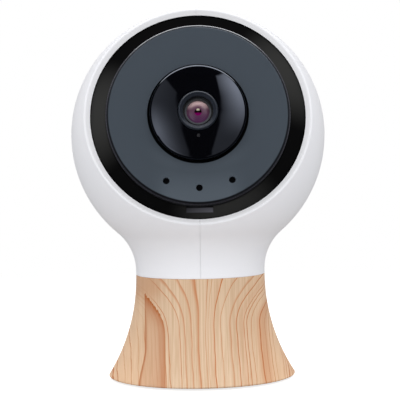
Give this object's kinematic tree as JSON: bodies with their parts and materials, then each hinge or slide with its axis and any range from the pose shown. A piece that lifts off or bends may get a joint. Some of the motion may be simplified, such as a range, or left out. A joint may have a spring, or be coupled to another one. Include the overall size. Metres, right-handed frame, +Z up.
{
  "type": "security camera",
  "caption": "Table-top security camera: a white ball head on a flared wood-grain foot, with a black eye that tilts in the head and carries a slate panel, domed bezel and lens",
  "frame": {"origin": "on the table, under the middle of the foot", "axes": "+Z up, -Y the way the lens looks, +X to the right for someone who faces the lens"},
  "size_m": [0.08, 0.0737, 0.1165],
  "materials": {
    "white_plastic": "smooth satin gloss, moulded in white",
    "wood_base": "light wood grain under a satin clear coat, grain upright",
    "satin_black": "fine satin moulding in black",
    "slate_plastic": "fine matte moulding in slate grey",
    "gloss_black": "polished, dark and see-through to infrared only",
    "lens_grey": "turned and anodised grey",
    "lens_black": "dull black inside the lens",
    "coated_glass": "polished, with a violet coating",
    "clear_glass": "polished",
    "clear_plastic": "clear moulding",
    "sensor_plastic": "smoke-grey light guide",
    "black_rubber": "dull moulded rubber",
    "screw_steel": "bright zinc plate",
    "plated_steel": "tin-plated sheet",
    "ballast_steel": "plain steel",
    "circuit_board": "green solder mask",
    "chip_black": "moulded chip package",
    "dark_resin": "dark clear resin",
    "grey_plastic": "plain moulding in grey",
    "bush_plastic": "natural slippery plastic",
    "cone_paper": "treated paper"
  },
  "bodies": {
    "stand": {"shell_left": "white_plastic", "shell_right": "white_plastic", "base_skirt": "wood_base", "base_plate": "satin_black", "inlet_surround": "satin_black", "foot_pad": "black_rubber", "speaker_gasket": "black_rubber", "neck_screws": "screw_steel", "base_screws": "screw_steel", "speaker_screws": "screw_steel", "power_socket": "plated_steel", "ballast": "ballast_steel", "speaker_magnet": "ballast_steel", "inlet_board": "circuit_board", "reset_switch": "chip_black", "neck_lock_ring": "grey_plastic", "speaker_frame": "grey_plastic", "speaker_clamp": "grey_plastic", "speaker_cone": "cone_paper"},
    "eye": {"eye_shell": "satin_black", "eye_rear_cover": "satin_black", "eye_screws": "screw_steel", "pivot_bushes": "bush_plastic", "cable_grommet": "black_rubber", "front_panel": "slate_plastic", "lens_bezel": "gloss_black", "lens_ring": "lens_grey", "lens_retainer": "lens_black", "lens_barrel": "lens_black", "front_lens": "coated_glass", "inner_lens": "clear_glass", "lens_spacer": "lens_black", "lens_holder": "lens_black", "holder_screws": "screw_steel", "infrared_filter": "clear_glass", "image_sensor": "chip_black", "main_board": "circuit_board", "board_screws": "screw_steel", "processor_shield": "plated_steel", "wireless_module": "plated_steel", "antenna": "circuit_board", "microphones": "chip_black", "microphone_seals": "black_rubber", "light_pipe": "clear_plastic", "status_light": "clear_plastic", "sensor_board": "circuit_board", "infrared_lights": "dark_resin", "light_sensor": "sensor_plastic"},
    "button": {"reset_button": "satin_black"}
  },
  "joints": [
    {"name": "eye_tilt", "type": "hinge", "parent": "stand", "child": "eye", "pos_m": [0, 0, 0.0765], "axis": [-1, 0, 0], "range_deg": [-5, 15]},
    {"name": "reset_press", "type": "slide", "parent": "stand", "child": "button", "axis": [0, -1, 0], "range_m": [0, 0.0005], "stiffness_N_per_m": 400}
  ]
}
